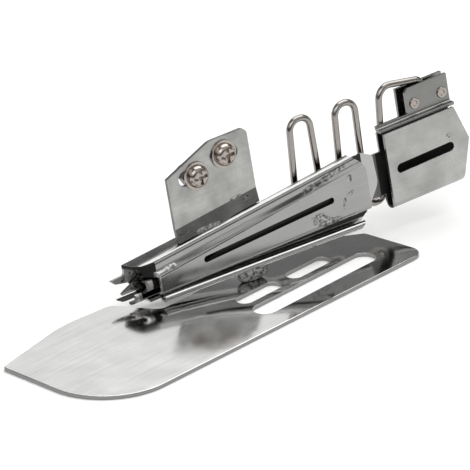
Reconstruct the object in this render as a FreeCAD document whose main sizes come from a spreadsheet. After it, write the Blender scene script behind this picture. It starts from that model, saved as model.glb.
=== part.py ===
import FreeCAD, Part
import math
import os

Vector = FreeCAD.Vector
Placement = FreeCAD.Placement
Rotation = FreeCAD.Rotation

# Double fold binder for a sewing machine, in millimetres.
# The origin is on the underside of the base plate, under the middle of its long slot.
# +X runs along the plate to the end where the tape goes in, +Y to the back, +Z up.

# Driving sizes: a name, a plain number, and what it measures.
SIZES = [
    ("plate_thickness", 1.0, "base plate sheet"),
    ("plate_front", 9.6, "long slot middle to the front edge"),
    ("plate_back", 20.0, "long slot middle to the back edge under the folder"),
    ("plate_right", 30.5, "long slot middle to the right end"),
    ("plate_corner", 4.0, "radius of the plate's right front corner"),
    ("plate_end_width", 19.0, "width of the right end"),
    ("plate_bevel_reach", 14.0, "length of the slanted right back corner"),
    ("leaf_left", 82.0, "long slot middle to the rounded leaf end"),
    ("leaf_right", 38.5, "long slot middle to the right shoulder of the leaf"),
    ("leaf_back", 32.2, "long slot middle to the leaf's back edge"),
    ("leaf_front", 7.9, "long slot middle to the leaf's front edge"),
    ("leaf_nose", 17.0, "radius of the leaf's front left corner"),
    ("leaf_edge_round", 0.25, "softened edge of the polished plate"),
    ("long_slot_length", 43.0, "long slot, end to end"),
    ("long_slot_width", 6.0, "long slot"),
    ("short_slot_length", 14.6, "each short slot, end to end"),
    ("short_slot_width", 4.4, "each short slot"),
    ("short_slot_spacing", 18.3, "middle to middle of the short slots"),
    ("short_slot_shift", 3.0, "middle of the pair, to the left of the long slot's middle"),
    ("short_slot_row", 7.3, "short slots behind the long slot"),
    ("folder_left", 31.9, "folder's exit corner, to the left of the origin"),
    ("folder_back", 19.7, "folder's exit corner, behind the origin"),
    ("folder_lift", 1.5, "folder's exit corner above the plate"),
    ("folder_yaw", 13.0, "degrees that the folder turns to the front"),
    ("folder_rise", 4.3, "degrees that the folder climbs to its mouth"),
    ("folder_lean", 5.8, "degrees that the folder leans back"),
    ("folder_length", 63.0, "folder, exit to mouth"),
    ("sheet_thickness", 0.8, "folder, sleeve and tab sheets"),
    ("inner_thickness", 0.6, "sheets of the inner scroll and channel"),
    ("exit_height", 10.5, "folder height at its exit"),
    ("mouth_height", 17.0, "folder height at its mouth"),
    ("exit_depth", 7.0, "folder depth at its exit"),
    ("mouth_depth", 4.0, "folder depth at its mouth"),
    ("exit_top_bend", 1.1, "bend radius along the top at the exit"),
    ("shell_step", 1.3, "how far the shell's upper band stands back from its belly at the exit"),
    ("mouth_step", 0.02, "the same step at the mouth, where it runs out"),
    ("shell_band", 2.9, "height of the shell's upper band at the exit"),
    ("mouth_top_bend", 0.9, "bend radius along the top at the mouth"),
    ("top_roll", 2.0, "depth of the folder's top right of the bracket"),
    ("shell_foot", 1.85, "height of the front shell's lower hem"),
    ("shell_slot_start", 12.85, "exit to the left end of the viewing slot"),
    ("shell_slot_rest", 10.65, "right end of the viewing slot to the mouth"),
    ("shell_slot_width", 1.6, "viewing slot of the front shell"),
    ("shell_slot_height", 6.9, "height of the viewing slot"),
    ("shell_slot_tilt", 2.4, "degrees of climb of the viewing slot"),
    ("back_step", 2.1, "how far the back sheet stops below the top right of the bracket"),
    ("back_reach", 5.8, "how far the back sheet passes the exit"),
    ("sheet_gap", 0.3, "running gap between neighbouring folder sheets"),
    ("channel_drop", 2.2, "how far the channel's hem falls from exit to mouth"),
    ("channel_hem", 0.5, "bend radius of the rolled lower hem"),
    ("channel_past", 4.0, "how far the channel sheet passes the mouth"),
    ("scroll_radius", 1.75, "middle radius of the inner scroll's nib"),
    ("scroll_height", 4.5, "height of the nib's middle at the exit"),
    ("scroll_wall", 8.6, "top of the inner scroll's back wall at the exit"),
    ("nib_front", 2.1, "how far the nib's front rim passes the exit"),
    ("nib_foot", 4.1, "how far the nib's lower rim passes the exit"),
    ("nib_tip", 8.3, "how far the nib's tip passes the exit"),
    ("nib_tip_height", 3.9, "height of the nib's tip"),
    ("curl_radius", 0.95, "middle radius of the small lower curl"),
    ("curl_tip", 10.4, "how far the lower curl's tip passes the exit"),
    ("curl_front", 5.6, "how far the lower curl's front rim passes the exit"),
    ("curl_rise", 0.25, "climb of the lower curl's upper leaf to its back"),
    ("curl_inside", 6.0, "how far the lower curl's strip runs into the folder"),
    ("floor_top", 0.9, "top of the folder's floor at the exit"),
    ("wing_tip", 9.6, "how far the exit wing's point passes the exit"),
    ("wing_gap", 0.33, "exit wing's front face behind the folder's back at the exit"),
    ("bracket_thickness", 1.0, "rear bracket sheet"),
    ("bracket_left", 7.9, "exit to the bracket's left edge"),
    ("bracket_width", 24.5, "rear bracket"),
    ("bracket_top", 33.1, "top of the rear bracket"),
    ("bracket_shoulder", 27.8, "lower end of the bracket's slanted corner"),
    ("bracket_bevel", 13.4, "length of the bracket's slanted corner"),
    ("bracket_face", 2.5, "bracket's front face behind the folder's front"),
    ("bracket_lean", 0.6, "how far the bracket's lower edge comes forward of its face"),
    ("bracket_bend", 3.7, "slight bend of the bracket above the folder's top"),
    ("bracket_slot_length", 8.1, "each bracket slot, end to end"),
    ("bracket_slot_width", 3.6, "each bracket slot"),
    ("bracket_slot_tilt", 6.5, "degrees that the bracket slots fall"),
    ("first_slot_along", 15.2, "exit to the middle of the first bracket slot"),
    ("first_slot_height", 26.2, "height of the first bracket slot's middle"),
    ("first_screw_shift", 1.05, "first screw, to the right of its slot's middle"),
    ("second_slot_along", 24.9, "exit to the middle of the second bracket slot"),
    ("second_slot_height", 28.7, "height of the second bracket slot's middle"),
    ("second_screw_shift", -0.15, "second screw, to the right of its slot's middle"),
    ("screw_diameter", 3.0, "clamp screw thread"),
    ("screw_head_diameter", 5.6, "pan head"),
    ("screw_head_height", 1.6, "pan head"),
    ("screw_crown", 1.35, "rounding of the pan head"),
    ("screw_chamfer", 0.3, "bevel at the screw's end"),
    ("screw_reach", 7.0, "clamp screw under its head"),
    ("cross_width", 0.9, "arm of the cross recess"),
    ("cross_span", 3.9, "cross recess, tip to tip"),
    ("cross_depth", 0.9, "cross recess"),
    ("washer_diameter", 7.0, "plain washer"),
    ("washer_thickness", 0.5, "plain washer"),
    ("nut_flats", 5.5, "hexagon nut across its flats"),
    ("nut_thickness", 2.4, "hexagon nut"),
    ("thread_clearance", 0.05, "screw to washer and nut bores"),
    ("wire_diameter", 1.7, "guide wire"),
    ("wire_start_left", 17.9, "mouth to the guide's free lower end"),
    ("wire_start_height", 7.0, "height of the guide's free lower end"),
    ("wire_room", 0.35, "room for the wire between tab and rear holder"),
    ("wire_foot", 0.4, "height of the guide's lower bends, middle line"),
    ("wire_first_top", 28.6, "height of the first upper bend, middle line"),
    ("wire_second_top", 28.1, "height of the second upper bend, middle line"),
    ("wire_run_past", 23.1, "mouth to the end of the guide's level run"),
    ("wire_end", 23.0, "height of the guide's tucked end"),
    ("neck_length", 7.0, "mouth to the sleeve's open left end"),
    ("sleeve_length", 21.8, "sleeve without its pointed end"),
    ("sleeve_point", 3.3, "how far the pointed end stands out"),
    ("sleeve_bottom", 1.2, "sleeve's bottom fold below the folder's exit corner"),
    ("sleeve_top", 18.3, "top edge of the sleeve's front"),
    ("sleeve_gap", 2.0, "space for the tape inside the sleeve"),
    ("sleeve_slot_length", 17.7, "viewing slot of the sleeve"),
    ("sleeve_slot_width", 2.3, "viewing slot of the sleeve"),
    ("sleeve_slot_height", 8.6, "height of the sleeve's viewing slot"),
    ("sleeve_slot_tilt", 1.0, "degrees of climb of the sleeve's slot"),
    ("neck_bottom", 2.3, "lower edge of the neck between folder and sleeve"),
    ("neck_top", 13.3, "upper edge of the neck"),
    ("tab_inset", 9.9, "sleeve's left end to the riveted tab"),
    ("tab_width", 13.1, "riveted tab"),
    ("tab_top", 26.3, "top of the riveted tab"),
    ("tab_bend", 0.9, "bend radius at the foot of the tab"),
    ("holder_foot", 9.0, "lower edge of the rear holder"),
    ("holder_joggle", 5.0, "lower edge of the rear holder to its bend backwards"),
    ("holder_step", 2.5, "height of the rear holder's bend"),
    ("holder_inset", 9.2, "sleeve's left end to the rear holder"),
    ("holder_width", 14.4, "rear holder"),
    ("holder_top", 26.0, "top of the rear holder"),
    ("rivet_left", 2.4, "tab's left edge to the first rivet"),
    ("rivet_spacing", 8.5, "rivet to rivet"),
    ("rivet_height", 21.9, "height of the rivets"),
    ("rivet_diameter", 1.5, "rivet shank"),
    ("rivet_head_diameter", 2.8, "rivet head"),
    ("rivet_head_height", 0.4, "rivet head"),
    ("clearance", 0.02, "between faces that are soldered or pressed together"),
    ("solder_foot_along", 26.0, "exit to the bead under the folder"),
    ("solder_foot_length", 9.2, "bead under the folder"),
    ("solder_foot_width", 3.4, "bead under the folder"),
    ("solder_foot_height", 4.0, "bead under the folder"),
    ("solder_bracket_inset", 2.0, "bracket's edges to the bead behind its foot"),
    ("solder_bracket_round", 1.4, "radius of the bead behind the bracket"),
]

doc = FreeCAD.newDocument("double_fold_binder")
sheet = doc.addObject("Spreadsheet::Sheet", "Sizes")
size = {}
for row, (alias, number, note) in enumerate(SIZES, start=1):
    sheet.set(f"A{row}", alias)
    sheet.set(f"B{row}", str(number))
    sheet.set(f"C{row}", note)
    sheet.setAlias(f"B{row}", alias)
    size[alias] = number
doc.recompute()


# Bodies, sketches and features

def origin_feature(body, role):
    return next(item for item in body.Origin.OriginFeatures if item.Role == role)


def new_body(label, place=None):
    body = doc.addObject("PartDesign::Body", label)
    body.Label = label
    if place is not None:
        body.Placement = place
    return body


def new_sketch(body, role, name, offset=None):
    """An empty sketch on an origin plane, moved along that plane's normal by an expression."""
    sketch = body.newObject("Sketcher::SketchObject", name)
    sketch.AttachmentSupport = [(origin_feature(body, role), "")]
    sketch.MapMode = "FlatFace"
    if offset is not None:
        sketch.setExpression("AttachmentOffset.Base.z", offset)
    return sketch


def unit(start, end):
    length = math.hypot(end[0] - start[0], end[1] - start[1])
    return (end[0] - start[0]) / length, (end[1] - start[1]) / length


def flat(point):
    return Vector(point[0], point[1], 0)


def bend(before, corner, after, radius, shift=0.0):
    """Start, middle and end of the arc that rounds a corner, moved sideways by shift."""
    d1 = unit(before, corner)
    d2 = unit(corner, after)
    turn = math.atan2(d1[0] * d2[1] - d1[1] * d2[0], d1[0] * d2[0] + d1[1] * d2[1])
    side = math.copysign(1.0, turn)
    run = radius * math.tan(abs(turn) / 2)
    start = (corner[0] - d1[0] * run, corner[1] - d1[1] * run)
    centre = (start[0] - d1[1] * radius * side, start[1] + d1[0] * radius * side)
    arc_radius = radius - side * shift
    points = []
    for share in (0.0, 0.5, 1.0):
        angle = math.atan2(start[1] - centre[1], start[0] - centre[0]) + turn * share
        points.append((centre[0] + arc_radius * math.cos(angle), centre[1] + arc_radius * math.sin(angle)))
    return points


def rounded(corners):
    """A closed outline of lines and arcs through corners given as (x, y, radius)."""
    arcs = []
    for i, (x, y, radius) in enumerate(corners):
        if radius > 0:
            arcs.append(bend(corners[i - 1], (x, y), corners[(i + 1) % len(corners)], radius))
        else:
            arcs.append([(x, y)])
    outline = []
    for i, arc in enumerate(arcs):
        if len(arc) == 3:
            outline.append(Part.Arc(flat(arc[0]), flat(arc[1]), flat(arc[2])))
        outline.append(Part.LineSegment(flat(arc[-1]), flat(arcs[(i + 1) % len(arcs)][0])))
    return outline


def folded(line, thickness):
    """The closed section of a bent sheet: its middle line is (x, y) or (x, y, bend radius) points."""
    sides = []
    for shift in (thickness / 2, -thickness / 2):
        d1 = unit(line[0], line[1])
        side = [[(line[0][0] - d1[1] * shift, line[0][1] + d1[0] * shift)]]
        for i in range(1, len(line) - 1):
            side.append(bend(line[i - 1], line[i], line[i + 1], line[i][2], shift))
        d2 = unit(line[-2], line[-1])
        side.append([(line[-1][0] - d2[1] * shift, line[-1][1] + d2[0] * shift)])
        sides.append(side)
    loop = sides[0] + [arc[::-1] for arc in reversed(sides[1])]
    outline = []
    for i, arc in enumerate(loop):
        if len(arc) == 3:
            outline.append(Part.Arc(flat(arc[0]), flat(arc[1]), flat(arc[2])))
        outline.append(Part.LineSegment(flat(arc[-1]), flat(loop[(i + 1) % len(loop)][0])))
    return outline


def slot_outline(along, up, length, width, tilt=0.0):
    """A slot with round ends, centred at (along, up) and turned by tilt degrees."""
    half = (length - width) / 2
    c = math.cos(math.radians(tilt))
    s = math.sin(math.radians(tilt))

    def at(x, y):
        return Vector(along + x * c - y * s, up + x * s + y * c, 0)

    r = width / 2
    return [
        Part.LineSegment(at(-half, -r), at(half, -r)),
        Part.Arc(at(half, -r), at(half + r, 0), at(half, r)),
        Part.LineSegment(at(half, r), at(-half, r)),
        Part.Arc(at(-half, r), at(-half - r, 0), at(-half, -r)),
    ]


def draw(sketch, outline):
    for edge in outline:
        sketch.addGeometry(edge, False)
    return sketch


def pad(body, name, sketch, length, reverse=False, midplane=False):
    feature = body.newObject("PartDesign::Pad", name)
    feature.Profile = sketch
    feature.setExpression("Length", length)
    feature.Reversed = reverse
    feature.Midplane = midplane
    return feature


def cut_through(body, name, sketch):
    """A cut through everything on both sides of its sketch, which has to take material away."""
    doc.recompute()
    before = body.Shape.Volume
    feature = body.newObject("PartDesign::Pocket", name)
    feature.Profile = sketch
    feature.Type = "ThroughAll"
    feature.Midplane = True
    doc.recompute()
    if body.Shape.Volume >= before:
        raise ValueError(f"{name} cuts nothing from {body.Label}")
    return feature


def loft(body, name, stations, thickness):
    """A bent sheet drawn from one section to the next: stations are (offset expression, middle line)."""
    sketches = []
    for number, (offset, line) in enumerate(stations):
        section = new_sketch(body, "YZ_Plane", f"{name}_section_{number}", offset)
        sketches.append(draw(section, folded(line, thickness)))
    feature = body.newObject("PartDesign::AdditiveLoft", name)
    feature.Profile = sketches[0]
    feature.Sections = sketches[1:]
    feature.Ruled = True
    return feature


# Base plate: polished sheet with a wide rounded leaf, one long and two short slots

base_plate = new_body("base_plate")
front_edge = -size["plate_front"]
plate_corners = [
    (size["plate_right"], front_edge, size["plate_corner"]),
    (size["plate_right"], front_edge + size["plate_end_width"], 1.5),
    (size["plate_right"] - size["plate_bevel_reach"], size["plate_back"], 6.0),
    (-size["leaf_right"] + 5.5, size["plate_back"], 3.0),
    (-size["leaf_right"], size["leaf_back"] - 0.8, 3.0),
    (-(size["leaf_right"] + size["leaf_left"]) / 2 + 6.0, size["leaf_back"] + 0.6, 30.0),
    (2.7 - size["leaf_left"], size["leaf_back"] - 4.0, 1.2),
    (-size["leaf_left"] - 0.4, size["leaf_front"] * -1.0, size["leaf_nose"]),
]
plate_sketch = draw(new_sketch(base_plate, "XY_Plane", "plate_outline"), rounded(plate_corners))
plate_pad = pad(base_plate, "plate_sheet", plate_sketch, "Sizes.plate_thickness")
doc.recompute()
rim = [
    f"Edge{number}"
    for number, edge in enumerate(plate_pad.Shape.Edges, start=1)
    if edge.BoundBox.ZLength < 1e-6
]
plate_round = base_plate.newObject("PartDesign::Fillet", "soft_edges")
plate_round.Base = (plate_pad, rim)
plate_round.setExpression("Radius", "Sizes.leaf_edge_round")
doc.recompute()
long_slot = draw(
    new_sketch(base_plate, "XY_Plane", "long_slot_outline"),
    slot_outline(0, 0, size["long_slot_length"], size["long_slot_width"]),
)
cut_through(base_plate, "long_slot", long_slot)
short_slot = draw(
    new_sketch(base_plate, "XY_Plane", "short_slot_outline"),
    slot_outline(
        -size["short_slot_shift"] - size["short_slot_spacing"] / 2,
        size["short_slot_row"],
        size["short_slot_length"],
        size["short_slot_width"],
    ),
)
short_cut = cut_through(base_plate, "short_slot", short_slot)
short_row = base_plate.newObject("PartDesign::LinearPattern", "short_slots")
short_row.Originals = [short_cut]
short_row.Direction = (origin_feature(base_plate, "X_Axis"), [""])
short_row.setExpression("Length", "Sizes.short_slot_spacing")
short_row.Occurrences = 2
base_plate.Tip = short_row
doc.recompute()

# The folder's own frame: along it from exit to mouth, back into it, and up it.
folder_place = Placement(
    Vector(-size["folder_left"], size["folder_back"], size["plate_thickness"] + size["folder_lift"]),
    Rotation(-size["folder_yaw"], -size["folder_rise"], -size["folder_lean"]),
)
thick = size["sheet_thickness"]
thin = size["inner_thickness"]
gap = size["sheet_gap"]


def between(exit_value, mouth_value, along):
    """A folder size at a distance from the exit, on the straight line from exit to mouth."""
    return exit_value + (mouth_value - exit_value) * along / size["folder_length"]


# Front shell: one sheet bent over the top and down the front, with a turned-in lower hem

def shell_line(height, depth, top_bend, step, band):
    foot = size["shell_foot"]
    middle = thick / 2
    return [
        (depth, height - middle),
        (middle + step, height - middle, top_bend),
        (middle + step, height - band, 0.9),
        (middle, height - band - 1.2, 1.2),
        (middle, foot + 0.6, 0.5),
        (middle + 0.35, foot),
    ]


front_shell = new_body("front_shell", folder_place)
reach = size["back_reach"]
loft(front_shell, "shell_sheet", [
    ("-Sizes.back_reach", shell_line(
        between(size["exit_height"], size["mouth_height"], -reach),
        between(size["exit_depth"], size["mouth_depth"], -reach),
        size["exit_top_bend"], between(size["shell_step"], size["mouth_step"], -reach), size["shell_band"],
    )),
    ("Sizes.folder_length", shell_line(
        size["mouth_height"], size["mouth_depth"], size["mouth_top_bend"], size["mouth_step"],
        size["shell_band"] * 0.76,
    )),
], thick)
exit_trim = [
    (-reach - 2, -3, 0),
    (0, -3, 0),
    (0, size["shell_step"] * 0.6, 0),
    (-reach + 1.7, size["exit_depth"] * 0.33, 1.5),
    (-reach + 0.8, size["exit_depth"] * 0.6, 3.0),
    (-reach, size["exit_depth"] + 0.4, 0),
    (-reach - 2, size["exit_depth"] + 0.4, 0),
]
cut_through(front_shell, "exit_trim", draw(new_sketch(front_shell, "XY_Plane", "exit_trim_outline"),
                                           rounded(exit_trim)))
mouth_trim = [
    (size["folder_length"] - 4.0, size["mouth_height"] + 1, 0),
    (size["folder_length"] - 4.0, size["mouth_height"] - 0.4, 0),
    (size["folder_length"] - 1.0, size["mouth_height"] - 3.0, 1.0),
    (size["folder_length"], size["mouth_height"] - 5.0, 0),
    (size["folder_length"] + 1, size["mouth_height"] - 5.0, 0),
    (size["folder_length"] + 1, size["mouth_height"] + 1, 0),
]
cut_through(front_shell, "mouth_trim", draw(new_sketch(front_shell, "XZ_Plane", "mouth_trim_outline"),
                                            rounded(mouth_trim)))
roll_start = size["bracket_left"] + size["bracket_width"] - 1.0
top_trim = [
    (roll_start, size["top_roll"], 0.8),
    (roll_start, size["exit_depth"] + 2, 0),
    (size["folder_length"] + 1, size["exit_depth"] + 2, 0),
    (size["folder_length"] + 1, size["top_roll"], 0),
]
cut_through(front_shell, "top_trim", draw(new_sketch(front_shell, "XY_Plane", "top_trim_outline"),
                                          rounded(top_trim)))
shell_slot_end = size["folder_length"] - size["shell_slot_rest"]
shell_slot = slot_outline((size["shell_slot_start"] + shell_slot_end) / 2, size["shell_slot_height"],
                          shell_slot_end - size["shell_slot_start"], size["shell_slot_width"],
                          size["shell_slot_tilt"])
cut_through(front_shell, "shell_slot", draw(new_sketch(front_shell, "XZ_Plane", "shell_slot_outline"),
                                            shell_slot))

# Back sheet: upright behind the scroll, turned forward at the bottom as the folder's floor

clearance = size["clearance"]
floor_top = size["floor_top"]


def back_line(height, depth):
    middle = depth - thick / 2
    return [
        (middle, height - thick - clearance),
        (middle, floor_top - thick / 2, 1.0),
        (2.4 + (depth - size["mouth_depth"]) * 0.1, floor_top - thick / 2),
    ]


back_sheet = new_body("back_sheet", folder_place)
loft(back_sheet, "back_and_floor", [
    ("-Sizes.back_reach", back_line(
        between(size["exit_height"], size["mouth_height"], -reach),
        between(size["exit_depth"], size["mouth_depth"], -reach),
    )),
    ("Sizes.folder_length", back_line(size["mouth_height"], size["mouth_depth"])),
], thick)
back_trim = [
    (-reach - 1, 5.6, 0),
    (-reach + 0.6, 5.6, 0.8),
    (-1.5, -1, 0),
    (-reach - 1, -1, 0),
]
cut_through(back_sheet, "back_trim", draw(new_sketch(back_sheet, "XZ_Plane", "back_trim_outline"),
                                          rounded(back_trim)))
low_top = [
    (roll_start, between(size["exit_height"], size["mouth_height"], roll_start) - size["back_step"], 0.8),
    (size["folder_length"] + 1, size["mouth_height"] - size["back_step"], 0),
    (size["folder_length"] + 1, size["mouth_height"] + 1, 0),
    (roll_start, size["mouth_height"] + 1, 0),
]
cut_through(back_sheet, "low_top", draw(new_sketch(back_sheet, "XZ_Plane", "low_top_outline"),
                                        rounded(low_top)))

# Fabric channel: the inner front sheet, rolled outwards into the bright lower hem

def channel_line(top, drop):
    middle = thick + gap + thin / 2
    hem = size["channel_hem"]
    front = middle - 2.2
    return [
        (middle, top),
        (middle, 0.2 - drop, 0.9),
        (front, 0.2 - drop, hem),
        (front, 0.2 - drop + 2.1 * hem, hem),
        (front + 0.9, 0.2 - drop + 2.1 * hem + 0.1),
    ]


fabric_channel = new_body("fabric_channel", folder_place)
reach_right = size["folder_length"] + size["channel_past"]
loft(fabric_channel, "channel_sheet", [
    (None, channel_line(2.4, 0.0)),
    ("Sizes.folder_length + Sizes.channel_past", channel_line(
        between(2.4, size["mouth_height"] - 1.0, reach_right),
        between(0.0, size["channel_drop"], reach_right),
    )),
], thin)
channel_trim = [
    (size["folder_length"] - 2.5, size["mouth_height"] + 2.5, 0),
    (size["folder_length"] - 2.5, size["mouth_height"] + 0.2, 0),
    (reach_right - 0.9, size["mouth_height"] - 2.7, 1.0),
    (reach_right - 0.4, size["mouth_height"] * 0.41, 4.0),
    (size["folder_length"] + 0.3, size["channel_drop"], 1.0),
    (size["folder_length"] - 6.0, -size["channel_drop"] - 0.9, 0),
    (reach_right + 1.0, -size["channel_drop"] - 0.9, 0),
    (reach_right + 1.0, size["mouth_height"] + 2.5, 0),
]
cut_through(fabric_channel, "channel_trim", draw(
    new_sketch(fabric_channel, "XZ_Plane", "channel_trim_outline"), rounded(channel_trim)))

# Inner scroll: a wall behind the front sheets, its lower edge rolled forward into a tube that
# ends in a nib at the exit and closes to a flat hem at the mouth

scroll_middle = size["exit_depth"] - thick - gap - thin / 2 - size["scroll_radius"]
scroll_back = scroll_middle + size["scroll_radius"]
scroll_front = scroll_middle - size["scroll_radius"]
scroll_foot = size["scroll_height"] - size["scroll_radius"]
scroll_top = size["scroll_height"] + size["scroll_radius"]
scroll_corner = size["scroll_radius"] - clearance


def nib_line():
    return [
        (scroll_back, size["scroll_wall"]),
        (scroll_back, scroll_foot, scroll_corner),
        (scroll_front, scroll_foot, scroll_corner),
        (scroll_front, scroll_top, scroll_corner),
        (scroll_back - thin / 2 - gap, scroll_top),
    ]


def flat_hem_line():
    front = thick + gap + thin + 0.1 + thin / 2
    back = size["mouth_depth"] - thick - 0.1 - thin / 2
    corner = (back - front) * 0.49
    top = size["mouth_height"] - thick - 1.2
    return [
        (back, top - 1.5),
        (back, 2.9, corner),
        (front, 2.9, corner),
        (front, top, corner),
        (front + 0.25, top + 0.4),
    ]


inner_scroll = new_body("inner_scroll", folder_place)
loft(inner_scroll, "scroll_sheet", [
    ("-Sizes.nib_tip", nib_line()),
    ("4", nib_line()),
    ("Sizes.folder_length - 1", flat_hem_line()),
], thin)
nib_cut = [
    (-size["nib_tip"] - 1, scroll_back - 0.5, 0),
    (-size["nib_foot"] - 0.5, scroll_back - 0.9, 1.0),
    (-size["nib_foot"], scroll_middle - 0.3, 0),
    (-size["nib_front"], scroll_front - 0.5, 0),
    (-size["nib_front"], -2, 0),
    (-size["nib_tip"] - 1, -2, 0),
]
cut_through(inner_scroll, "nib_cut", draw(new_sketch(inner_scroll, "XY_Plane", "nib_cut_outline"),
                                          rounded(nib_cut)))
tongue_top = size["nib_tip_height"]
tongue_foot = tongue_top - 0.4
nib_slope = [
    (-size["nib_tip"] - 1, tongue_top, 0),
    (-size["nib_tip"] + 0.1, tongue_top, 0.5),
    (-size["nib_front"] - 1.0, scroll_top - 0.2, 0.5),
    (-size["nib_front"] - 0.3, scroll_top + 0.2, 0.3),
    (-size["nib_front"] - 1.1, size["scroll_wall"] - 0.6, 1.0),
    (-size["nib_front"] - 1.2, size["scroll_wall"] + 1, 0),
    (-size["nib_tip"] - 1, size["scroll_wall"] + 1, 0),
]
cut_through(inner_scroll, "nib_slope", draw(new_sketch(inner_scroll, "XZ_Plane", "nib_slope_outline"),
                                            rounded(nib_slope)))
nib_under = [
    (-size["nib_tip"] - 1, tongue_foot, 0),
    (-size["nib_foot"] - 0.2, tongue_foot, 0.3),
    (-size["nib_foot"], scroll_foot, 0),
    (-size["nib_foot"], -1, 0),
    (-size["nib_tip"] - 1, -1, 0),
]
cut_through(inner_scroll, "nib_under", draw(new_sketch(inner_scroll, "XZ_Plane", "nib_under_outline"),
                                            rounded(nib_under)))

# Lower curl: the small rolled guide under the nib, on a strip along the folder's floor

curl_middle = scroll_middle - 0.1
curl_up = floor_top + clearance + thin / 2 + size["curl_radius"]
curl_back = scroll_back - thin - 0.45
curl_corner = size["curl_radius"] - clearance


def curl_line():
    r = size["curl_radius"]
    return [
        (curl_back, curl_up - r),
        (curl_middle - r, curl_up - r, curl_corner),
        (curl_middle - r, curl_up + r, curl_corner),
        (curl_back, curl_up + r + size["curl_rise"], 0.5),
        (curl_back, curl_up),
    ]


lower_curl = new_body("lower_curl", folder_place)
curl_sketch = draw(new_sketch(lower_curl, "YZ_Plane", "curl_section", "-Sizes.curl_tip"),
                   folded(curl_line(), thin))
pad(lower_curl, "curl_sheet", curl_sketch, "Sizes.curl_tip + Sizes.curl_inside")
curl_cut = [
    (-size["curl_tip"] - 1, curl_back - 0.1, 0),
    (-size["curl_tip"], curl_back - 0.1, 0),
    (-size["curl_front"] - 1.1, curl_middle - 0.1, 1.5),
    (-size["curl_front"], curl_middle - size["curl_radius"] - 0.6, 0),
    (-size["curl_front"], -2, 0),
    (-size["curl_tip"] - 1, -2, 0),
]
cut_through(lower_curl, "curl_cut", draw(new_sketch(lower_curl, "XY_Plane", "curl_cut_outline"),
                                         rounded(curl_cut)))
curl_under = [
    (-size["curl_tip"] - 1, curl_up + 1.6, 0),
    (-size["curl_tip"] + 1.5, curl_up + 0.1, 0.5),
    (-size["curl_front"] - 1.5, curl_up - 0.1, 0.3),
    (-size["curl_front"] - 1.4, -1, 0),
    (-size["curl_tip"] - 1, -1, 0),
]
cut_through(lower_curl, "curl_under", draw(new_sketch(lower_curl, "XZ_Plane", "curl_under_outline"),
                                           rounded(curl_under)))
strip_top = floor_top + clearance + thin + 0.2
strip_trim = [
    (-size["nib_foot"] - 0.25, strip_top, 0.3),
    (-size["nib_foot"] - 0.25, curl_up + 3, 0),
    (size["curl_inside"] + 1, curl_up + 3, 0),
    (size["curl_inside"] + 1, strip_top, 0),
]
cut_through(lower_curl, "strip_trim", draw(new_sketch(lower_curl, "XZ_Plane", "strip_trim_outline"),
                                           rounded(strip_trim)))

# Exit wing: a small pointed leaf behind the back sheet

exit_wing = new_body("exit_wing", folder_place)
wing_outline = [
    (-size["wing_tip"], 7.0, 0),
    (-size["wing_tip"] + 1.4, 5.7, 0.8),
    (-1.5, 4.4, 1.0),
    (-1.5, 8.2, 1.0),
    (-size["wing_tip"] + 4.4, 8.2, 0.6),
    (-size["wing_tip"] + 3.8, 7.2, 0),
]
wing_seat = "-Sizes.exit_depth - Sizes.wing_gap"
wing_sketch = draw(new_sketch(exit_wing, "XZ_Plane", "wing_outline", wing_seat), rounded(wing_outline))
pad(exit_wing, "wing_sheet", wing_sketch, "Sizes.inner_thickness", reverse=True)

# Rear bracket: a slotted upright sheet that stands on the folder's top, slightly bent near its foot

def bracket_line(along):
    top = between(size["exit_height"], size["mouth_height"], along)
    middle = size["bracket_face"] + size["bracket_thickness"] / 2
    return [
        (middle - size["bracket_lean"], top + 0.1),
        (middle, top + size["bracket_bend"], 2.0),
        (middle, size["bracket_top"]),
    ]


bracket_right = size["bracket_left"] + size["bracket_width"]
rear_bracket = new_body("rear_bracket", folder_place)
loft(rear_bracket, "bracket_sheet", [
    ("Sizes.bracket_left", bracket_line(size["bracket_left"])),
    ("Sizes.bracket_left + Sizes.bracket_width", bracket_line(bracket_right)),
], size["bracket_thickness"])
bracket_top = size["bracket_top"]
bracket_trim = [
    (size["bracket_left"] - 1, bracket_top + 1, 0),
    (size["bracket_left"] - 1, size["bracket_shoulder"] - 0.4, 0),
    (size["bracket_left"], size["bracket_shoulder"], 0.6),
    (size["bracket_left"] + size["bracket_bevel"], bracket_top, 4.0),
    (bracket_right - 1.2, bracket_top, 0.9),
    (bracket_right, bracket_top - 1.2, 0.9),
    (bracket_right, bracket_top - 3.0, 0),
    (bracket_right + 1, bracket_top - 3.0, 0),
    (bracket_right + 1, bracket_top + 1, 0),
]
cut_through(rear_bracket, "bracket_trim", draw(new_sketch(rear_bracket, "XZ_Plane", "bracket_trim_outline"),
                                               rounded(bracket_trim)))
slot_fall = math.tan(math.radians(size["bracket_slot_tilt"]))
screws = []
for name in ("first", "second"):
    along = size[f"{name}_slot_along"]
    up = size[f"{name}_slot_height"]
    outline = slot_outline(along, up, size["bracket_slot_length"], size["bracket_slot_width"],
                           -size["bracket_slot_tilt"])
    cut_through(rear_bracket, f"{name}_bracket_slot",
                draw(new_sketch(rear_bracket, "XZ_Plane", f"{name}_bracket_slot_outline"), outline))
    shift = size[f"{name}_screw_shift"]
    screws.append((name, along + shift, up - shift * slot_fall))

# Clamp screws, washers and nuts, square to the bracket

def ring_outline(outer, inner, start, end):
    """A washer-like section beside the turning axis, between two heights."""
    return rounded([(inner, start, 0), (outer, start, 0), (outer, end, 0), (inner, end, 0)])


def revolve(body, name, sketch):
    feature = body.newObject("PartDesign::Revolution", name)
    feature.Profile = sketch
    feature.ReferenceAxis = (sketch, ["V_Axis"])
    feature.Angle = 360
    return feature


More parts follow.
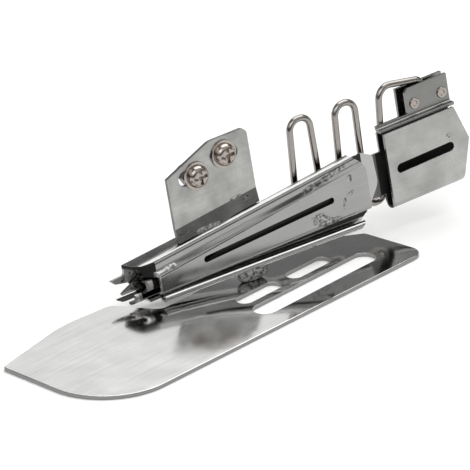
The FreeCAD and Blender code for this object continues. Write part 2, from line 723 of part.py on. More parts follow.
def screw_place(along, up):
    """Screw frame: its origin on the bracket's front face, its +Z towards the front."""
    turned = Rotation(Vector(1, 0, 0), 90)
    return folder_place.multiply(Placement(Vector(along, size["bracket_face"], up), turned))


for name, along, up in screws:
    place = screw_place(along, up)
    washer = new_body(f"{name}_washer", place)
    bore = size["screw_diameter"] / 2 + size["thread_clearance"]
    washer_section = new_sketch(washer, "XZ_Plane", f"{name}_washer_section")
    draw(washer_section, ring_outline(size["washer_diameter"] / 2, bore, clearance / 2,
                                      size["washer_thickness"]))
    revolve(washer, f"{name}_washer_ring", washer_section)

    screw = new_body(f"{name}_screw", place)
    head = size["washer_thickness"] + clearance / 2
    bevel = size["screw_chamfer"]
    head_radius = size["screw_head_diameter"] / 2
    shank = size["screw_diameter"] / 2
    crown = head + size["screw_head_height"]
    screw_section = new_sketch(screw, "XZ_Plane", f"{name}_screw_section")
    draw(screw_section, rounded([
        (0, head - size["screw_reach"], 0),
        (shank - bevel, head - size["screw_reach"], 0),
        (shank, head - size["screw_reach"] + bevel, 0),
        (shank, head, 0),
        (head_radius, head, 0),
        (head_radius, crown, size["screw_crown"]),
        (0, crown, 0),
    ]))
    revolve(screw, f"{name}_screw_turned", screw_section)
    for arm, (wide, tall) in enumerate(((1, 0), (0, 1))):
        span = size["cross_span"] / 2
        half = size["cross_width"] / 2
        x = span if wide else half
        y = span if tall else half
        recess = draw(new_sketch(screw, "XY_Plane", f"{name}_recess_{arm}",
                                 "Sizes.washer_thickness + Sizes.clearance / 2 + Sizes.screw_head_height"),
                      rounded([(-x, -y, 0), (x, -y, 0), (x, y, 0), (-x, y, 0)]))
        doc.recompute()
        before = screw.Shape.Volume
        pocket = screw.newObject("PartDesign::Pocket", f"{name}_cross_{arm}")
        pocket.Profile = recess
        pocket.setExpression("Length", "Sizes.cross_depth")
        doc.recompute()
        if screw.Shape.Volume >= before:
            raise ValueError("the cross recess cuts nothing")

    nut = new_body(f"{name}_nut", place)
    corner = size["nut_flats"] / math.sqrt(3)
    hexagon = [
        (corner * math.cos(math.radians(60 * k)), corner * math.sin(math.radians(60 * k)), 0)
        for k in range(6)
    ]
    nut_sketch = draw(new_sketch(nut, "XY_Plane", f"{name}_nut_outline",
                                 "-Sizes.bracket_thickness - Sizes.clearance / 2"), rounded(hexagon))
    nut_sketch.addGeometry(Part.Circle(Vector(0, 0, 0), Vector(0, 0, 1), bore), False)
    pad(nut, f"{name}_nut_block", nut_sketch, "Sizes.nut_thickness", reverse=True)

# Tape sleeve: one sheet folded along the bottom, slotted in front, with a neck to the folder

sleeve_front = size["mouth_depth"] - 2 * thick - size["sleeve_gap"]
sleeve_left = size["folder_length"] + size["neck_length"]
sleeve_right = sleeve_left + size["sleeve_length"]
fold_radius = (size["sleeve_gap"] + thick) / 2 - clearance
front_middle = sleeve_front + thick / 2
back_middle = size["mouth_depth"] - thick / 2
fold_line = -size["sleeve_bottom"] + thick / 2
tape_sleeve = new_body("tape_sleeve", folder_place)
sleeve_section = draw(
    new_sketch(tape_sleeve, "YZ_Plane", "sleeve_section", "Sizes.folder_length + Sizes.clearance"),
    folded([
        (front_middle, size["sleeve_top"]),
        (front_middle, fold_line, fold_radius),
        (back_middle, fold_line, fold_radius),
        (back_middle, size["sleeve_top"] - clearance),
    ], thick),
)
pad(tape_sleeve, "sleeve_sheet", sleeve_section,
    "Sizes.neck_length + Sizes.sleeve_length + Sizes.sleeve_point - Sizes.clearance")
middle_height = size["sleeve_top"] / 2
point_trim = [
    (sleeve_right + size["sleeve_point"] + 1, -4, 0),
    (sleeve_right + size["sleeve_point"] + 1, size["sleeve_top"] + 1, 0),
    (sleeve_right, size["sleeve_top"] + 1, 0),
    (sleeve_right, size["sleeve_top"], 0),
    (sleeve_right + size["sleeve_point"], middle_height, 0.8),
    (sleeve_right, -size["sleeve_bottom"], 0),
    (sleeve_right, -4, 0),
]
cut_through(tape_sleeve, "point_trim", draw(new_sketch(tape_sleeve, "XZ_Plane", "point_trim_outline"),
                                            rounded(point_trim)))
start = size["folder_length"] - 1
for name, low, high in (
    ("neck_lower_trim", -4, size["neck_bottom"]),
    ("neck_upper_trim", size["neck_top"], size["sleeve_top"] + 1),
):
    trim = [(start, low, 0), (sleeve_left, low, 0), (sleeve_left, high, 0), (start, high, 0)]
    cut_through(tape_sleeve, name, draw(new_sketch(tape_sleeve, "XZ_Plane", f"{name}_outline"),
                                        rounded(trim)))
front_trim = [
    (start, sleeve_front - 1, 0),
    (sleeve_left, sleeve_front - 1, 0),
    (sleeve_left, size["mouth_depth"] - thick, 0),
    (start, size["mouth_depth"] - thick, 0),
]
cut_through(tape_sleeve, "neck_front_trim", draw(new_sketch(tape_sleeve, "XY_Plane", "neck_front_outline"),
                                                 rounded(front_trim)))
sleeve_slot = slot_outline(sleeve_left + size["sleeve_length"] / 2 + 0.4, size["sleeve_slot_height"],
                           size["sleeve_slot_length"], size["sleeve_slot_width"], size["sleeve_slot_tilt"])
slot_sketch = draw(new_sketch(tape_sleeve, "XZ_Plane", "sleeve_slot_outline"), sleeve_slot)
doc.recompute()
before = tape_sleeve.Shape.Volume
slot_pocket = tape_sleeve.newObject("PartDesign::Pocket", "sleeve_slot")
slot_pocket.Profile = slot_sketch
slot_pocket.setExpression("Length", "Sizes.mouth_depth - Sizes.sheet_thickness - Sizes.sleeve_gap / 2")
slot_pocket.Reversed = False
doc.recompute()
if tape_sleeve.Shape.Volume >= before:
    raise ValueError("the sleeve slot cuts nothing")

# Sleeve tab: lip over the sleeve's top, bent up into the tab that takes the rivets

tab_left = sleeve_left + size["tab_inset"]
sleeve_tab = new_body("sleeve_tab", folder_place)
lip_height = size["sleeve_top"] + thick / 2
tab_section = draw(
    new_sketch(sleeve_tab, "YZ_Plane", "tab_section", "Sizes.folder_length + Sizes.neck_length"),
    folded([
        (front_middle + 0.8, lip_height),
        (back_middle, lip_height, size["tab_bend"]),
        (back_middle, size["tab_top"]),
    ], thick),
)
pad(sleeve_tab, "tab_sheet", tab_section, "Sizes.tab_inset + Sizes.tab_width")
tab_trim = [
    (sleeve_left - 1, size["tab_top"] + 1, 0),
    (sleeve_left - 1, lip_height + 1.2, 0),
    (tab_left, lip_height + 1.2, 0.5),
    (tab_left, size["tab_top"] - 1.0, 0),
    (tab_left + 1.0, size["tab_top"], 0),
    (tab_left + 1.0, size["tab_top"] + 1, 0),
]
cut_through(sleeve_tab, "tab_trim", draw(new_sketch(sleeve_tab, "XZ_Plane", "tab_trim_outline"),
                                         rounded(tab_trim)))

# Rear holder: the joggled sheet behind the tab, soldered low on the sleeve's back

holder_front = size["mouth_depth"] + size["wire_diameter"] + size["wire_room"]
rear_holder = new_body("rear_holder", folder_place)
holder_section = draw(
    new_sketch(rear_holder, "YZ_Plane", "holder_section",
               "Sizes.folder_length + Sizes.neck_length + Sizes.holder_inset"),
    folded([
        (size["mouth_depth"] + (thick + clearance) / 2, size["holder_foot"]),
        (size["mouth_depth"] + (thick + clearance) / 2, size["holder_foot"] + size["holder_joggle"], 1.0),
        (holder_front + thick / 2, size["holder_foot"] + size["holder_joggle"] + size["holder_step"], 1.0),
        (holder_front + thick / 2, size["holder_top"]),
    ], thick),
)
pad(rear_holder, "holder_sheet", holder_section, "Sizes.holder_width")

# Rivets through the tab and the holder

rivets = [
    ("left_rivet", tab_left + size["rivet_left"]),
    ("right_rivet", tab_left + size["rivet_left"] + size["rivet_spacing"]),
]
front_face = size["mouth_depth"] - thick
back_face = holder_front + thick
for name, along in rivets:
    for body in (sleeve_tab, rear_holder):
        hole = new_sketch(body, "XZ_Plane", f"{name}_{body.Label}_hole")
        hole.addGeometry(Part.Circle(Vector(along, size["rivet_height"], 0), Vector(0, 0, 1),
                                     size["rivet_diameter"] / 2), False)
        cut_through(body, f"{name}_{body.Label}_bore", hole)
    rivet = new_body(name, folder_place.multiply(
        Placement(Vector(along, front_face, size["rivet_height"]), Rotation(Vector(1, 0, 0), 90))))
    shank = (size["rivet_diameter"] - clearance) / 2
    head = size["rivet_head_diameter"] / 2
    rise = size["rivet_head_height"]
    depth = back_face - front_face
    rivet_section = draw(new_sketch(rivet, "XZ_Plane", f"{name}_section"), rounded([
        (0, -depth - rise, 0),
        (head, -depth - rise, 0.25),
        (head, -depth - clearance / 2, 0),
        (shank, -depth - clearance / 2, 0),
        (shank, clearance / 2, 0),
        (head, clearance / 2, 0),
        (head, rise, 0.2),
        (shank, rise, 0),
        (shank - 0.15, rise * 0.4, 0),
        (0, rise * 0.4, 0),
    ]))
    revolve(rivet, f"{name}_turned", rivet_section)

# Wire guide: one wire bent into upright loops behind the folder and sleeve

wire_radius = size["wire_diameter"] / 2
wire_along = size["folder_length"] - size["wire_start_left"]
wire_run = size["wire_start_left"] + size["wire_run_past"]
wire_back = between(size["exit_depth"], size["mouth_depth"], wire_along - 2) + wire_radius
wire_sink = wire_back - (size["mouth_depth"] + wire_radius + clearance / 2)
wire_swing = math.degrees(math.atan2(wire_sink, wire_run))
wire_place = folder_place.multiply(Placement(Vector(wire_along, wire_back, size["wire_start_height"]),
                                             Rotation(Vector(0, 0, 1), -wire_swing)))
wire_guide = new_body("wire_guide", wire_place)

# Corners of the wire's middle line in its own plane: distance along from its free end, height in
# the folder's frame, bend radius.
first_top = size["wire_first_top"]
second_top = size["wire_second_top"]
foot = size["wire_foot"]
wire_corners = [
    (0, size["wire_start_height"], 0),
    (1.7, first_top, 2.85),
    (7.5, first_top, 2.85),
    (7.8, foot, 2.6),
    (13.1, foot, 2.6),
    (15.1, second_top, 2.9),
    (21.05, second_top, 2.9),
    (20.15, foot, 2.6),
    (25.45, foot, 2.6),
    (28.6, second_top + 0.7, 3.3),
    (wire_run, second_top - 1.4, 1.6),
    (wire_run + 0.1, size["wire_end"], 0),
]


def wire_path():
    """The wire's middle line as lines and tangent arcs, from its free end to its tucked end."""
    at = [(x, z - size["wire_start_height"]) for x, z, _ in wire_corners]
    arcs = [[at[0]]]
    for i in range(1, len(at) - 1):
        arcs.append(bend(at[i - 1], at[i], at[i + 1], wire_corners[i][2]))
    arcs.append([at[-1]])
    path = []
    for arc, following in zip(arcs, arcs[1:] + [None]):
        if len(arc) == 3:
            path.append(Part.Arc(flat(arc[0]), flat(arc[1]), flat(arc[2])))
        if following:
            path.append(Part.LineSegment(flat(arc[-1]), flat(following[0])))
    return path


wire_spine = draw(new_sketch(wire_guide, "XZ_Plane", "wire_spine"), wire_path())
first_leg = unit(wire_corners[0], wire_corners[1])
wire_section = new_sketch(wire_guide, "XY_Plane", "wire_section")
wire_section.AttachmentOffset = Placement(
    Vector(0, 0, 0), Rotation(Vector(0, 1, 0), math.degrees(math.atan2(first_leg[0], first_leg[1]))))
wire_section.addGeometry(Part.Circle(Vector(0, 0, 0), Vector(0, 0, 1), wire_radius), False)
wire_pipe = wire_guide.newObject("PartDesign::AdditivePipe", "wire")
wire_pipe.Profile = wire_section
wire_pipe.Spine = (wire_spine, [f"Edge{k + 1}" for k in range(len(wire_path()))])
doc.recompute()

# Solder: beads that fill the corners where the sheets are joined

def bead(label, centre, radii, neighbours):
    """A rounded bead in the folder's frame, less the pieces that it lies against."""
    ball = Part.makeSphere(1.0)
    stretch = FreeCAD.Matrix()
    stretch.scale(Vector(*radii))
    blob = ball.transformGeometry(stretch)
    blob.Placement = folder_place.multiply(Placement(Vector(*centre), Rotation()))
    shape = blob.cut([piece.Shape for piece in neighbours])
    solid = max(shape.Solids, key=lambda item: item.Volume)
    feature = doc.addObject("Part::Feature", label)
    feature.Label = label
    feature.Shape = solid
    return feature


doc.recompute()
foot_along = size["solder_foot_along"]
foot_up = -between(0.0, size["channel_drop"], foot_along) - 0.9
foot_half = [size[f"solder_foot_{side}"] / 2 for side in ("length", "width", "height")]
inset = size["solder_bracket_inset"]
bracket_middle = size["bracket_left"] + size["bracket_width"] / 2 - inset
bead_back = size["bracket_face"] + size["bracket_thickness"] - 0.3
bead_up = between(size["exit_height"], size["mouth_height"], bracket_middle) + 0.2
bead_round = size["solder_bracket_round"]
solder = [
    bead("solder_foot", (foot_along, 0.1, foot_up), foot_half, [base_plate, fabric_channel]),
    bead("solder_bracket", (bracket_middle, bead_back, bead_up),
         (size["bracket_width"] / 2 - inset, bead_round, bead_round),
         [rear_bracket, front_shell, back_sheet, inner_scroll]),
]

# Checks and export

doc.recompute()
for item in doc.Objects:
    if "Invalid" in item.State or "Error" in item.State:
        raise ValueError(f"{item.Label} failed: {item.State}")

pieces = [item for item in doc.Objects if item.TypeId == "PartDesign::Body"] + solder
os.makedirs("parts", exist_ok=True)
for piece in pieces:
    shape = piece.Shape
    if shape.isNull() or not shape.isValid() or not shape.Solids:
        raise ValueError(f"{piece.Label} has no valid solid")
    shape.exportStep(f"parts/{piece.Label}.step")
    print(f"{piece.Label}: {shape.Volume:.1f} mm3, {len(shape.Solids)} solid")
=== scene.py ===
import math

import bmesh
import bpy
from mathutils import Matrix, Vector


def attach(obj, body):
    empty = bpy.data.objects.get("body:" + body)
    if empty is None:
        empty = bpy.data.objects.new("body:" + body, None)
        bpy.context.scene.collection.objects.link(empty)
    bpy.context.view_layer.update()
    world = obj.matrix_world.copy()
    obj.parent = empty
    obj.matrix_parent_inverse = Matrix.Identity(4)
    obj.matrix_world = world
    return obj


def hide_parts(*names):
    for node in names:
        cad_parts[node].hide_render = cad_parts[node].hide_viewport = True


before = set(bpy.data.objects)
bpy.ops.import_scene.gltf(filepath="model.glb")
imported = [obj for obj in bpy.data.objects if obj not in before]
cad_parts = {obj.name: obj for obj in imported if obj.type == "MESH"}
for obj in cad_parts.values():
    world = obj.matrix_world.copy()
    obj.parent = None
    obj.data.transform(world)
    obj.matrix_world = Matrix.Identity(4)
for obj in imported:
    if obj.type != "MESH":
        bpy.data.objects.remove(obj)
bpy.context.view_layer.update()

scene = bpy.context.scene
scene.view_settings.view_transform = "Standard"
MM = 0.001

# Camera: the binder is seen from its left front corner and a little from above, through a long
# lens that stands 1.2 m away, turned two degrees on its axis. The middle of the long slot is the
# point that it is set by. Picture sizes are in pixels.

PICTURE = 470
FOCAL = 5000
SLOT_TO_THE_RIGHT = 80
SLOT_BELOW = 48
STAND_OFF = 1.196
azimuth, elevation, roll = (math.radians(angle) for angle in (-49.5, 23.8, -2.0))
level = Vector((math.cos(azimuth), math.sin(azimuth), 0))
look = Vector((-math.sin(azimuth) * math.cos(elevation), math.cos(azimuth) * math.cos(elevation),
               -math.sin(elevation)))
across = level * math.cos(roll) + level.cross(look) * math.sin(roll)
upright = across.cross(look)
aim = (look * FOCAL - across * SLOT_TO_THE_RIGHT + upright * SLOT_BELOW).normalized()
across = (across - aim * across.dot(aim)).normalized()
upright = across.cross(aim)

camera = bpy.data.objects.new("camera", bpy.data.cameras.new("camera"))
camera.data.sensor_width = 36
camera.data.lens = camera.data.sensor_width * FOCAL / PICTURE
camera.data.clip_start = 0.01
camera.data.clip_end = 20
turn = Matrix((across, upright, -aim)).transposed()
slot_middle = Vector((0, 0, 1 * MM))
camera.matrix_world = Matrix.Translation(slot_middle - look * STAND_OFF) @ turn.to_4x4()
scene.collection.objects.link(camera)
scene.camera = camera

# Floor and room: a white sweep runs out to all sides and ends in a lit white backdrop behind the
# binder. Above the backdrop and behind the camera the room is dim, which is what makes the
# polished plate look dark. The camera sees the floor and the backdrop as white, and so does the
# metal.


def tone(hex_colour):
    """An sRGB hex colour as the linear values that a shader takes."""
    parts = [int(hex_colour[i:i + 2], 16) / 255 for i in (1, 3, 5)]
    linear = [p / 12.92 if p <= 0.04045 else ((p + 0.055) / 1.055) ** 2.4 for p in parts]
    return (*linear, 1.0)


def add(tree, kind, settings=None, links=None):
    """Adds a node, sets its inputs or properties, and links its inputs to other outputs."""
    made = tree.nodes.new(kind)
    for name, value in (settings or {}).items():
        if isinstance(name, int) or name in made.inputs:
            made.inputs[name].default_value = value
        else:
            setattr(made, name, value)
    for name, source in (links or {}).items():
        tree.links.new(source, made.inputs[name])
    return made


def ramp(tree, source, stops):
    """Brightness over a value: straight lines between stops of (value from -1 to 1, brightness)."""
    half = add(tree, "ShaderNodeMapRange", {"From Min": -1.0, "From Max": 1.0}, {"Value": source})
    made = add(tree, "ShaderNodeValToRGB", links={"Fac": half.outputs["Result"]})
    elements = made.color_ramp.elements
    while len(elements) < len(stops):
        elements.new(0.5)
    for element, (value, bright) in zip(elements, stops):
        element.position = (value + 1) / 2
        element.color = (bright, bright, bright, 1.0)
    return made.outputs["Color"]


# The walls' brightness from the floor (-1) over the horizon (0) to the ceiling (1). The rear wall
# starts in the white backdrop. The front wall has a lit band above the camera.
REAR_WALL = ((-1.0, 1.0), (0.08, 1.0), (0.22, 0.24), (0.40, 0.20), (0.62, 0.26), (1.0, 0.25))
FRONT_WALL = ((-1.0, 0.5), (0.0, 0.12), (0.26, 0.13), (0.40, 0.75), (0.70, 0.8), (0.84, 0.2),
              (1.0, 0.25))

room = bpy.data.worlds.new("studio_room")
scene.world = room
room.use_nodes = True
tree = room.node_tree
tree.nodes.clear()
direction = add(tree, "ShaderNodeTexCoord").outputs["Generated"]
height = add(tree, "ShaderNodeSeparateXYZ", links={0: direction}).outputs["Z"]
away = add(tree, "ShaderNodeVectorMath", {"operation": "DOT_PRODUCT", 1: (look.x, look.y, 0.0)},
           {0: direction}).outputs["Value"]
rear_wall = ramp(tree, height, REAR_WALL)
front_wall = ramp(tree, height, FRONT_WALL)
side = add(tree, "ShaderNodeMapRange",
           {"From Min": -0.1, "From Max": 0.35, "interpolation_type": "SMOOTHSTEP"},
           {"Value": away})
walls = add(tree, "ShaderNodeMix", {"data_type": "RGBA"},
            {"Factor": side.outputs["Result"], 6: front_wall, 7: rear_wall})
# Shelves and doors leave the walls patchy.
clutter = add(tree, "ShaderNodeTexNoise", {"Scale": 2.6, "Detail": 2.0}, {"Vector": direction})
patches = add(tree, "ShaderNodeMapRange",
              {"From Min": 0.35, "From Max": 0.65, "To Min": 0.75, "To Max": 1.3},
              {"Value": clutter.outputs["Fac"]})
furnished = add(tree, "ShaderNodeMix", {"data_type": "RGBA", "blend_type": "MULTIPLY", 0: 1.0},
                {6: walls.outputs[2], 7: patches.outputs["Result"]})
ray = add(tree, "ShaderNodeLightPath")
seen = add(tree, "ShaderNodeMix", {"data_type": "RGBA", 7: tone("#ffffff")},
           {0: ray.outputs["Is Camera Ray"], 6: furnished.outputs[2]})
glow = add(tree, "ShaderNodeBackground", {"Strength": 1.0}, {"Color": seen.outputs[2]})
add(tree, "ShaderNodeOutputWorld", links={"Surface": glow.outputs["Background"]})

# The sweep is matt white paper. It lies a hair below the plate, keeps the binder's shadow, and the
# fill lifts it to white where the camera or the metal sees it.
SWEEP_REACH = 3.0
SWEEP_BELOW = 0.05
SWEEP_FILL = 0.12

floor_mesh = bpy.data.meshes.new("white_sweep")
floor_shape = bmesh.new()
bmesh.ops.create_grid(floor_shape, x_segments=1, y_segments=1, size=SWEEP_REACH)
bmesh.ops.translate(floor_shape, verts=floor_shape.verts, vec=(0, 0, -SWEEP_BELOW * MM))
floor_shape.to_mesh(floor_mesh)
floor_shape.free()
floor = bpy.data.objects.new("white_sweep", floor_mesh)
scene.collection.objects.link(floor)
paper = bpy.data.materials.new("white_sweep_paper")
paper.use_nodes = True
tree = paper.node_tree
tree.nodes.clear()
ray = add(tree, "ShaderNodeLightPath")
shade = add(tree, "ShaderNodeBsdfDiffuse", {"Color": tone("#f4f4f3")})
shown = add(tree, "ShaderNodeMath", {"operation": "MAXIMUM"},
            {0: ray.outputs["Is Camera Ray"], 1: ray.outputs["Is Glossy Ray"]})
lift = add(tree, "ShaderNodeMath", {"operation": "MULTIPLY", 1: SWEEP_FILL},
           {0: shown.outputs["Value"]})
white = add(tree, "ShaderNodeEmission", {"Color": tone("#ffffff")},
            {"Strength": lift.outputs["Value"]})
both = add(tree, "ShaderNodeAddShader",
           links={0: shade.outputs["BSDF"], 1: white.outputs["Emission"]})
add(tree, "ShaderNodeOutputMaterial", links={"Surface": both.outputs["Shader"]})
floor_mesh.materials.append(paper)


def softbox(name, place, run, width, height, radiance):
    """A soft lamp facing the binder, its width along run. Metal shows it, the camera doesn't."""
    lamp = bpy.data.lights.new(name, "AREA")
    lamp.shape = "RECTANGLE"
    lamp.size = width
    lamp.size_y = height
    lamp.energy = radiance * math.pi * width * height
    toward = Vector(place).normalized()
    wide = (Vector(run) - toward * toward.dot(run)).normalized()
    holder = bpy.data.objects.new(name, lamp)
    facing = Matrix((wide, toward.cross(wide), toward)).transposed()
    holder.matrix_world = Matrix.Translation(place) @ facing.to_4x4()
    holder.visible_camera = False
    scene.collection.objects.link(holder)


# The key lamp stands to the left, where no sheet mirrors it. The long softbox hangs along the
# folder and draws the bright line on its rolls.
FOLDER_TURN = -13.0
LONG_SOFTBOX_AT = Vector((0.34, 0.03, 0.94)) * 1.1
folder_run = Vector((math.cos(math.radians(FOLDER_TURN)), math.sin(math.radians(FOLDER_TURN)), 0))
softbox("key_softbox", (-0.75, -0.45, 0.95), folder_run, width=0.8, height=0.8, radiance=1.5)
softbox("long_softbox", LONG_SOFTBOX_AT, folder_run, width=1.1, height=1.15, radiance=2.5)
# The small panel stands where the leaf's shading mirrors it to this camera: 0.35 m out along the
# mirrored line of sight, then to the left and up. From other sides the leaf isn't light.
mirrored = Vector((look.x, look.y, -look.z))
sideways = Vector((0, 0, 1)).cross(mirrored).normalized()
above = mirrored.cross(sideways)
leaf_edge = Vector((-28 * MM, -4 * MM, 1 * MM))
panel_at = leaf_edge + mirrored * 0.35 + sideways * 0.058 + above * 0.090
softbox("leaf_panel", panel_at, sideways, width=0.156, height=0.14, radiance=0.92)

# Base plate: 1 mm stainless sheet, cut out with its slots and buffed to a mirror, the edges
# softened by the buffing wheel. Wiping has left faint lines along it, its leaf is worn less bright,
# and its cut edge faces are painted at under half the brightness and made duller.

# How a CAD mesh is cleaned before its edges are broken: lengths in mm, angles in degrees.
SAME_POINT = 0.002
NO_EDGE = 0.001
FLAT_ANGLE = 0.5
SMOOTH_ANGLE = 30
BEVEL_ANGLE = 35


def softened(node, edge):
    """A copy of a CAD node with its edges broken by edge mm, as a deburred sheet has."""
    shape = bmesh.new()
    shape.from_mesh(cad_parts[node].data)
    bmesh.ops.remove_doubles(shape, verts=shape.verts, dist=SAME_POINT * MM)
    bmesh.ops.dissolve_degenerate(shape, edges=shape.edges, dist=NO_EDGE * MM)
    bmesh.ops.dissolve_limit(shape, angle_limit=math.radians(FLAT_ANGLE), verts=shape.verts,
                             edges=shape.edges)
    mesh = bpy.data.meshes.new(f"finished_{node}")
    shape.to_mesh(mesh)
    shape.free()
    mesh.polygons.foreach_set("use_smooth", [True] * len(mesh.polygons))
    mesh.set_sharp_from_angle(angle=math.radians(SMOOTH_ANGLE))
    piece = bpy.data.objects.new(f"finished_{node}", mesh)
    scene.collection.objects.link(piece)
    if edge > 0:
        broken = piece.modifiers.new("broken_edges", "BEVEL")
        broken.width = edge * MM
        broken.segments = 2
        broken.limit_method = "ANGLE"
        broken.angle_limit = math.radians(BEVEL_ANGLE)
        broken.harden_normals = True
    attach(piece, "root")
    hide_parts(node)
    return piece


def figure(tree, operation, *values):
    """The result of a Math node, each value a number or another node's output."""
    numbers = {i: value for i, value in enumerate(values) if isinstance(value, (int, float))}
    sources = {i: value for i, value in enumerate(values) if i not in numbers}
    return add(tree, "ShaderNodeMath", {"operation": operation, **numbers}, sources).outputs[0]


def times(tree, *sources):
    """The product of several values."""
    total = sources[0]
    for source in sources[1:]:
        total = figure(tree, "MULTIPLY", total, source)
    return total


def ranged(tree, source, low, high, from_value, to_value):
    """A value that runs from from_value to to_value while the source runs from low to high."""
    return add(tree, "ShaderNodeMapRange",
               {"From Min": low, "From Max": high, "To Min": from_value, "To Max": to_value},
               {"Value": source}).outputs["Result"]


def cloudy(tree, place, scale, detail, roughness=0.5):
    """Noise over a place, with patches about 1 / scale metres apart."""
    return add(tree, "ShaderNodeTexNoise",
               {"Scale": scale, "Detail": detail, "Roughness": roughness},
               {"Vector": place}).outputs["Fac"]


def along(tree, place, toward):
    """How far a place lies along a direction, in metres."""
    return add(tree, "ShaderNodeVectorMath", {"operation": "DOT_PRODUCT", 1: toward},
               {0: place}).outputs["Value"]


RAG_SCALE = 900.0


def nearest(tree, place, spots, ragged):
    """How far a place is from the nearest spot, where 1 is its rim, made ragged by noise. A spot is
    (middle in mm, reach in mm, turn in degrees)."""
    best = None
    for middle, reach, turned in spots:
        at = add(tree, "ShaderNodeMapping",
                 {"vector_type": "TEXTURE", "Location": tuple(x * MM for x in middle),
                  "Rotation": (0, math.radians(-turned), 0),
                  "Scale": tuple(x * MM for x in reach)}, {"Vector": place}).outputs["Vector"]
        far = add(tree, "ShaderNodeVectorMath", {"operation": "LENGTH"}, {0: at}).outputs["Value"]
        best = far if best is None else figure(tree, "MINIMUM", best, far)
    shift = ranged(tree, cloudy(tree, place, RAG_SCALE, 3.0), 0.0, 1.0, -ragged, ragged)
    return figure(tree, "ADD", best, shift)


RANGE_SOFT = 0.1


def inside(tree, place, ranges):
    """1 where a place lies in all of the ranges (direction, from, to) in mm, and 0 outside."""
    edges = []
    for toward, low, high in ranges:
        at = along(tree, place, toward)
        edges.append(ranged(tree, at, (low - RANGE_SOFT) * MM, low * MM, 0.0, 1.0))
        edges.append(ranged(tree, at, high * MM, (high + RANGE_SOFT) * MM, 1.0, 0.0))
    return times(tree, *edges)


# The folder's own axes: where they start, how they are turned, and what they are called.
FOLDER_PLACE = (-31.9 * MM, 19.7 * MM, 2.5 * MM)
FOLDER_TURNS = tuple(math.radians(angle) for angle in (-5.8, -4.3, FOLDER_TURN))
ALONG = (1, 0, 0)
BACK = (0, 1, 0)
UP = (0, 0, 1)
# How fine and how deep (in mm) the rolling lines, the cloth's clouds, the sheet's waves and the
# smears are, and how much they change the brightness and the dullness. The smears' darkening also
# paints the shade inside the nib.
LINE_SCALE = (60, 2600, 2600)
LINE_SHADE = (0.93, 1.04)
CLOUD_SCALE = 130.0
WAVE_SCALE = 55.0
WAVE_DEPTH = 0.10
SMEAR_SCALE = 1300.0
SMEAR_AND_NIB_SHADE = (-0.7, 0.3)
SMEAR_DEPTH = 0.07
SMEAR_DULLING = 0.12


